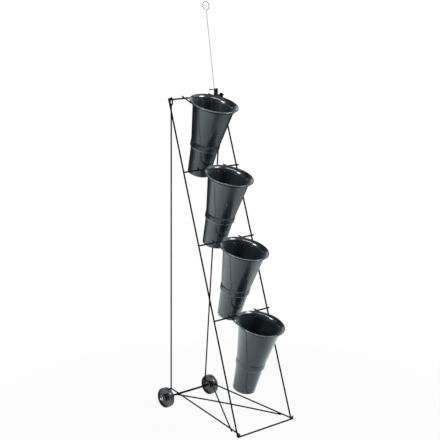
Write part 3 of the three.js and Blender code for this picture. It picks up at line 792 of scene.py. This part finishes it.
for side, sign in BOTH_SIDES:
    path = bent_path(brace_corners(sign), HOOK_BEND)
    brace = rod_mesh(f"{side}_brace_rod", path, BASE_ROD_RADIUS + COAT_BUILD, sides=18)
    dress(brace, satin_black)
    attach(brace, "base_frame")
    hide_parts(f"{side}_brace")

for node, rear_sign, bow in (("diagonal_over", -1.0, 1.0), ("diagonal_under", 1.0, -1.0)):
    start, end = diagonal_ends(rear_sign)
    run = end - start
    overhang = run.normalized() * DIAGONAL_OVERHANG
    line = [start - under_brace - overhang]
    for i in range(DIAGONAL_STEPS + 1):
        share = i / DIAGONAL_STEPS
        spot = start - under_brace + run * share
        spot.z += bow * (BASE_ROD_RADIUS + SEAT_GAP) * math.sin(math.pi * share)
        line.append(spot)
    line.append(end - under_brace + overhang)
    diagonal = rod_mesh(f"{node}_rod", line, BASE_ROD_RADIUS + COAT_BUILD, sides=18)
    dress(diagonal, satin_black)
    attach(diagonal, "base_frame")
    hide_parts(node)
    for k, (spot, brace_sign) in enumerate(((start, rear_sign), (end, -rear_sign))):
        corners = brace_corners(brace_sign)
        heading = corners[2] - corners[1]
        joint = spot - under_brace / 2.0
        weld_nugget(f"{node}_weld_{k + 1}", "base_frame", joint, heading, run, 3.2 * MM, 2.0 * MM, k + bow)

start, end = diagonal_ends(-1.0)
crossing = start.lerp(end, start.x / (start.x - end.x)) - under_brace
weld_nugget("diagonal_crossing_weld", "base_frame", crossing, (1, 0, 0), (0, 1, 0), 3.2 * MM, 2.4 * MM, 1.7)


# Card clip: a small black moulding that snaps over the top bar through a round mouth with a slit under it.
# Two rounded ears stand on it, and the clamp screw passes through both to pinch the card wire.
# From here to the card wire, all but CLIP_X is in millimetres from the middle of the bar under the clip.
CLIP_X = 98.5 * MM
CLIP_HALF_WIDTH = 7.0
CLIP_HALF_DEPTH = 4.4
CLIP_TOP = 12.0
CLIP_BOTTOM = 6.0
CLIP_CORNER = 1.2
CLIP_EDGE = 0.5
BAR_HOLE_RADIUS = 3.3
SLIT_HALF_ANGLE = math.radians(49.0)
EAR_GAP = 2.5
EAR_TOP = 3.1
EAR_ROOT = 1.0
SCREW_HEIGHT = 24.0
SCREW_HOLE_RADIUS = 2.25
CLIP_STEPS = 40
clip_place = Matrix.Translation((CLIP_X, TOP_BAR_Y, TOP_BAR_Z)) @ Matrix.Diagonal((MM, MM, MM, 1.0))


def ear_edge(angle, inset):
    """The outside of an ear seen along the bar: round over the screw, straight down into the body."""
    half, low = CLIP_HALF_DEPTH - inset, SCREW_HEIGHT - CLIP_TOP + EAR_ROOT
    across, up = math.cos(angle), math.sin(angle)
    if up >= 0.0:
        return across * half, up * (EAR_TOP - inset)
    reach = min(half / max(abs(across), 1e-6), low / -up)
    return across * reach, up * reach


def body_edge(angle, inset):
    """The outside of the clip's body seen along the bar, with its top and bottom corners taken off."""
    across, up = math.cos(angle), math.sin(angle)
    half = CLIP_HALF_DEPTH - inset
    end = (CLIP_TOP if up > 0.0 else CLIP_BOTTOM) - inset
    reach = min(half / max(abs(across), 1e-6), end / max(abs(up), 1e-6))
    corner = (half + end - CLIP_CORNER) / (abs(across) + abs(up))
    reach = min(reach, corner)
    return across * reach, up * reach


def clip_slab(mesh, edge, middle, hole, first, last, start, stop):
    """A slab across the bar from first to last, pierced by a round hole, open from stop to start."""
    closed = stop - start > 2.0 * math.pi - 1e-6
    count = CLIP_STEPS if closed else CLIP_STEPS + 1
    layers = []
    faces = ((first, CLIP_EDGE), (first + CLIP_EDGE, 0.0), (last - CLIP_EDGE, 0.0), (last, CLIP_EDGE))
    for across, inset in faces:
        outer, inner = [], []
        for k in range(count):
            angle = start + (stop - start) * k / CLIP_STEPS
            y, z = edge(angle, inset)
            outer.append(mesh.verts.new((across, y, middle + z)))
            inner.append(mesh.verts.new((across, math.cos(angle) * hole, middle + math.sin(angle) * hole)))
        layers.append((outer, inner))
    steps = range(count) if closed else range(count - 1)
    for k in steps:
        n = (k + 1) % count
        for (outer, inner), (next_outer, next_inner) in zip(layers, layers[1:]):
            mesh.faces.new((outer[k], outer[n], next_outer[n], next_outer[k]))
            mesh.faces.new((inner[n], inner[k], next_inner[k], next_inner[n]))
        for outer, inner in (layers[0], layers[-1]):
            mesh.faces.new((outer[n], outer[k], inner[k], inner[n]))
    if not closed:
        for k in (0, count - 1):
            for (outer, inner), (next_outer, next_inner) in zip(layers, layers[1:]):
                mesh.faces.new((outer[k], next_outer[k], next_inner[k], inner[k]))


clip_tones = ((0.006, 0.0065, 0.007), (0.012, 0.013, 0.014))
clip_settings = {"Gloss Low": 0.3, "Gloss High": 0.42, "Grain Height": 0.12}
clip_plastic, _ = finish_material("clip_plastic", moulded_plastic, *clip_tones, clip_settings)
clip_mesh = bmesh.new()
slit_start, slit_stop = SLIT_HALF_ANGLE - math.pi / 2, 1.5 * math.pi - SLIT_HALF_ANGLE
body_faces = (-CLIP_HALF_WIDTH, CLIP_HALF_WIDTH)
clip_slab(clip_mesh, body_edge, 0.0, BAR_HOLE_RADIUS, *body_faces, slit_start, slit_stop)
for ear_faces in ((-CLIP_HALF_WIDTH, -EAR_GAP), (EAR_GAP, CLIP_HALF_WIDTH)):
    clip_slab(clip_mesh, ear_edge, SCREW_HEIGHT, SCREW_HOLE_RADIUS, *ear_faces, 0.0, 2.0 * math.pi)
clip_mesh.transform(clip_place)
clip = finished_object("card_clip_moulding", clip_mesh, crease=35.0)
dress(clip, clip_plastic)
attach(clip, "card_clip")
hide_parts("card_clip")


# Clamp screw: a turned steel screw with a long thumb grip at its left end, ringed with fine grooves.
# Its thread shows between the grip and the ears, which it passes through.
SCREW_END = 9.0
GRIP_END = -33.0
GRIP_LENGTH = 10.0
GRIP_GROOVES = 6
GROOVE_PITCH = 1.15
THREAD_PITCH = 0.8


def screw_outline():
    """The section of the screw as (distance from its axis, place along the bar) in mm."""
    mm = [(0.0, GRIP_END), (2.3, GRIP_END), (2.8, GRIP_END + 0.4), (3.0, GRIP_END + 1.0)]
    mm += [(2.75, GRIP_END + 1.6)]
    for groove in range(GRIP_GROOVES):
        start = GRIP_END + 2.2 + groove * GROOVE_PITCH
        mm += [(2.98, start), (2.98, start + 0.6), (2.72, start + 0.85)]
    mm += [(3.0, GRIP_END + 9.2), (2.8, GRIP_END + 9.7), (2.0, GRIP_END + GRIP_LENGTH)]
    along = GRIP_END + GRIP_LENGTH + 1.0
    while along < SCREW_END - 1.4:
        mm += [(1.98, along), (1.72, along + THREAD_PITCH / 2)]
        along += THREAD_PITCH
    mm += [(1.9, SCREW_END - 1.0), (1.2, SCREW_END - 0.2), (0.9, SCREW_END), (0.0, SCREW_END)]
    return mm


turning = {"Scratch Stretch": (2500.0, 300.0, 300.0)}
screw_steel = metal_material("screw_steel", (0.36, 0.35, 0.34), (0.55, 0.54, 0.52), turning)
along_bar = Matrix.Rotation(math.pi / 2, 4, "Y")
screw_stand = clip_place @ Matrix.Translation((0.0, 0.0, SCREW_HEIGHT)) @ along_bar
screw = turned("clamp_screw_turning", screw_outline(), 24, screw_stand, crease=40.0)
dress(screw, screw_steel)
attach(screw, "clamp_screw")
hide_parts("clamp_screw")


# Card wire: one length of 2.2 mm bright spring wire, bent to an open eye round the screw at its foot.
# Its top is bent sideways into an open ring that holds the price card.
WIRE_RADIUS = 1.1
WIRE_EYE = 3.5
WIRE_EYE_START = math.radians(-200.0)
WIRE_EYE_TURN = math.radians(265.0)
WIRE_EYE_STEPS = 19
WIRE_LENGTH = 313.8
WIRE_SIDE_GAP = 0.3
WIRE_LEAN = math.radians(8.5)
CARD_RING = 16.0
RING_OPENING = 6.0
RING_START = math.radians(-78.0)
RING_STOP = 1.5 * math.pi - RING_OPENING / CARD_RING
RING_STEPS = 44

wire_line = []
for i in range(WIRE_EYE_STEPS + 1):
    angle = WIRE_EYE_START + WIRE_EYE_TURN * i / WIRE_EYE_STEPS
    wire_line.append((0.0, -WIRE_EYE * math.cos(angle), WIRE_EYE * math.sin(angle)))
wire_line += [(0.0, -0.65, 3.85), (0.0, -0.18, 4.8), (0.0, 0.0, 6.2)]
for across, drop in ((0.0, CARD_RING + 4.0), (0.15, 18.2), (0.8, 16.9), (1.9, 16.1)):
    wire_line.append((across, 0.0, WIRE_LENGTH - drop))
for i in range(RING_STEPS + 1):
    angle = RING_START + (RING_STOP - RING_START) * i / RING_STEPS
    wire_line.append((CARD_RING * math.cos(angle), 0.0, WIRE_LENGTH + CARD_RING * math.sin(angle)))
wire_foot = Matrix.Translation((-CLIP_HALF_WIDTH - WIRE_SIDE_GAP - WIRE_RADIUS, 0.0, SCREW_HEIGHT))
wire_stand = clip_place @ wire_foot @ Matrix.Rotation(-WIRE_LEAN, 4, "X")
wire_points = [wire_stand @ Vector(place) for place in wire_line]
wire = rod_mesh("card_wire_bend", wire_points, WIRE_RADIUS * MM, sides=14)

# The wire is stained darker towards the ring, between these two heights in metres.
STAIN_START = 1.505
STAIN_FULL = 1.525
drawing = {"Scratch Stretch": (400.0, 400.0, 60.0), "Gloss Low": 0.45, "Gloss High": 0.6}
wire_steel = metal_material("wire_steel", (0.36, 0.27, 0.25), (0.52, 0.41, 0.39), drawing)
nodes, links = wire_steel.node_tree.nodes, wire_steel.node_tree.links
height = nodes.new("ShaderNodeSeparateXYZ")
links.new(nodes.new("ShaderNodeTexCoord").outputs["Object"], height.inputs["Vector"])
stained = nodes.new("ShaderNodeMapRange")
stained.inputs["From Min"].default_value = STAIN_START
stained.inputs["From Max"].default_value = STAIN_FULL
links.new(height.outputs["Z"], stained.inputs["Value"])
mix_into_base(wire_steel, stained.outputs["Result"], (0.05, 0.035, 0.03, 1.0))
dress(wire, wire_steel)
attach(wire, "card_wire")
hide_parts("card_wire")


# Floor: a white studio sheet that runs out under the trolley and away behind it.
# The camera sees it as near white, and it keeps a faint shadow under the wheels and feet.
# Glossy pieces mirror it with painted light that the camera doesn't see: soft bright and dim pools, a
# painted shadow of the trolley, and a fade towards the sheet's end.
FLOOR_HALF = 9.0
sheet_mesh = bmesh.new()
corners = []
for x, y in ((-1, -1), (1, -1), (1, 1), (-1, 1)):
    corners.append(sheet_mesh.verts.new((x * FLOOR_HALF, y * FLOOR_HALF, 0.0)))
sheet_mesh.faces.new(corners)
floor = finished_object("studio_floor", sheet_mesh)


def operation_node(nodes, links, kind, operation, operands):
    """A maths node fed with sockets or plain values."""
    made = nodes.new(kind)
    made.operation = operation
    for socket, value in zip(made.inputs, operands):
        feed(links, socket, value)
    return made


def maths(nodes, links, operation, *operands):
    return operation_node(nodes, links, "ShaderNodeMath", operation, operands).outputs["Value"]


def vector_maths(nodes, links, operation, *operands):
    """The same for places and directions, whose length and dot product are plain numbers."""
    made = operation_node(nodes, links, "ShaderNodeVectorMath", operation, operands)
    return made.outputs["Value" if operation in ("LENGTH", "DOT_PRODUCT") else "Vector"]


def smooth_ramp(nodes, links, value, start, end, low, high):
    """A smooth change from low to high while the value goes from start to end."""
    ramp = nodes.new("ShaderNodeMapRange")
    ramp.interpolation_type = "SMOOTHSTEP"
    for socket, number in (("From Min", start), ("From Max", end), ("To Min", low), ("To Max", high)):
        ramp.inputs[socket].default_value = number
    links.new(value, ramp.inputs["Value"])
    return ramp.outputs["Result"]


def plainly_seen(nodes, links, rays):
    """1 for what the camera sees itself or through glass."""
    return maths(nodes, links, "MAXIMUM", rays.outputs["Is Camera Ray"], rays.outputs["Is Transmission Ray"])


floor_white = bpy.data.materials.new("floor_white")
floor_white.use_nodes = True
nodes, links = floor_white.node_tree.nodes, floor_white.node_tree.links
surface = nodes["Principled BSDF"]
surface.inputs["Base Color"].default_value = (0.85, 0.85, 0.85, 1.0)
surface.inputs["Roughness"].default_value = 0.9
surface.inputs["Specular IOR Level"].default_value = 0.0
sheet_place = nodes.new("ShaderNodeNewGeometry").outputs["Position"]


def light_pool(middle, stretch, start, end, within, beyond):
    """A smooth round or long patch on the sheet, with one value within and another beyond its edge."""
    moved = vector_maths(nodes, links, "SUBTRACT", sheet_place, middle)
    reach = vector_maths(nodes, links, "LENGTH", vector_maths(nodes, links, "MULTIPLY", moved, stretch))
    return smooth_ramp(nodes, links, reach, start, end, within, beyond)


even = (1.0, 1.0, 0.0)
# Painted light in the floor's glow for mirrored rays: two bright pools, a painted shadow of the trolley, and
# a fade at the sheet's end.
painted_main_light_pool = light_pool((-0.8, 1.1, 0.0), even, 0.4, 1.9, 1.3, 0.58)
painted_right_light_pool = light_pool((0.5, 0.0, 0.0), even, 0.15, 0.65, 0.5, 0.0)
trolley_shadow = light_pool((-0.2, -0.55, 0.0), (0.5, 1.0, 0.0), 0.04, 0.27, 0.4, 1.0)
sheet_end = light_pool((-0.5, 0.4, 0.0), even, 1.5, 3.2, 1.0, 0.04)
painted_light_pools = maths(nodes, links, "ADD", painted_main_light_pool, painted_right_light_pool)
painted_light_pools = maths(nodes, links, "MULTIPLY", painted_light_pools, trolley_shadow)
painted_light_pools = maths(nodes, links, "MULTIPLY", painted_light_pools, sheet_end)

rays = nodes.new("ShaderNodeLightPath")
mirrored = rays.outputs["Is Glossy Ray"]
strength_seen = nodes.new("ShaderNodeMix")
feed(links, strength_seen.inputs["Factor"], mirrored)
feed(links, strength_seen.inputs["A"], 1.0)
feed(links, strength_seen.inputs["B"], painted_light_pools)
tint_seen = nodes.new("ShaderNodeMix")
tint_seen.data_type = "RGBA"
feed(links, tint_seen.inputs["Factor"], mirrored)
feed(links, tint_seen.inputs[COLOUR_A], (1.0, 1.0, 1.0, 1.0))
feed(links, tint_seen.inputs[COLOUR_B], (0.89, 1.0, 1.02, 1.0))
glow = nodes.new("ShaderNodeEmission")
feed(links, glow.inputs["Strength"], strength_seen.outputs["Result"])
feed(links, glow.inputs["Color"], tint_seen.outputs[COLOUR_OUT])

white_share = light_pool((0.0, 0.0, 0.0), even, 0.5, 1.3, 0.93, 1.0)
seen_white = maths(nodes, links, "MULTIPLY", plainly_seen(nodes, links, rays), white_share)
blend = nodes.new("ShaderNodeMixShader")
links.new(maths(nodes, links, "MAXIMUM", seen_white, mirrored), blend.inputs["Fac"])
links.new(surface.outputs["BSDF"], blend.inputs[1])
links.new(glow.outputs["Emission"], blend.inputs[2])
links.new(blend.outputs["Shader"], nodes["Material Output"].inputs["Surface"])
floor.data.materials.append(floor_white)


# Room: dim and bluish, and plain white where the camera looks past the floor.
# Glossy pieces also mirror four soft white sheets, each given by the direction of its middle,
# by how close to it in cosine its edge starts and its full white begins, and by its brightness.
WHITE_SHEETS = (
    ((0.84, 0.52, 0.16), 0.93, 0.97, 1.0),
    ((0.45, 0.78, 0.43), 0.93, 0.97, 1.0),
    ((-0.20, -0.40, 0.89), 0.78, 0.9, 0.3),
    ((0.75, -0.15, 0.64), 0.93, 0.98, 1.0),
)
world = bpy.data.worlds.new("studio")
bpy.context.scene.world = world
world.use_nodes = True
nodes, links = world.node_tree.nodes, world.node_tree.links
room = nodes["Background"]
room.inputs["Color"].default_value = (0.6, 0.78, 1.0, 1.0)
room.inputs["Strength"].default_value = 0.12
backdrop = nodes.new("ShaderNodeBackground")
backdrop.inputs["Color"].default_value = (1.0, 1.0, 1.0, 1.0)
backdrop.inputs["Strength"].default_value = 1.0
heading = nodes.new("ShaderNodeTexCoord").outputs["Generated"]
sheet_share = 0.0
for middle, edge, full, bright in WHITE_SHEETS:
    towards = vector_maths(nodes, links, "DOT_PRODUCT", heading, middle)
    sheet = smooth_ramp(nodes, links, towards, edge, full, 0.0, bright)
    sheet_share = maths(nodes, links, "MAXIMUM", sheet_share, sheet)
rays = nodes.new("ShaderNodeLightPath")
mirrored = maths(nodes, links, "MULTIPLY", rays.outputs["Is Glossy Ray"], sheet_share)
blend = nodes.new("ShaderNodeMixShader")
links.new(maths(nodes, links, "MAXIMUM", plainly_seen(nodes, links, rays), mirrored), blend.inputs["Fac"])
links.new(room.outputs["Background"], blend.inputs[1])
links.new(backdrop.outputs["Background"], blend.inputs[2])
links.new(blend.outputs["Shader"], nodes["World Output"].inputs["Surface"])


# Lights: two window lamps for the bright spots in the mouths of the vases,
# and a long strip lamp high up on the camera's side for the light line along their far rims.
LAMP_TARGET = Vector((0.0, 0.0, 1.2))


def area_lamp(name, place, width, height, watts):
    """A soft lamp that the camera can't see, turned to the mouth of the top vase."""
    data = bpy.data.lights.new(name, "AREA")
    data.shape = "RECTANGLE"
    data.size = width
    data.size_y = height
    data.energy = watts
    lamp = bpy.data.objects.new(name, data)
    bpy.context.collection.objects.link(lamp)
    lamp.location = place
    lamp.visible_camera = False
    lamp.rotation_euler = (LAMP_TARGET - Vector(place)).to_track_quat("-Z", "Y").to_euler()


area_lamp("right_window", (2.0, -2.4, 3.1), 1.4, 1.0, 70.0)
area_lamp("left_window", (-3.2, -0.2, 2.7), 1.2, 0.9, 54.0)
area_lamp("overhead", (-1.67, -1.99, 3.23), 2.7, 0.35, 36.0)

# Camera: eye height, to the front left of the trolley, looking down a little.
camera_data = bpy.data.cameras.new("camera")
camera_data.lens = 104.72
camera_data.sensor_width = 36.0
camera = bpy.data.objects.new("camera", camera_data)
bpy.context.collection.objects.link(camera)
camera.location = (-3.2128, -3.3665, 1.6865)
camera.rotation_euler = (math.radians(78.72), 0.0, math.radians(-43.31))
bpy.context.scene.camera = camera
bpy.context.scene.view_settings.view_transform = "Standard"
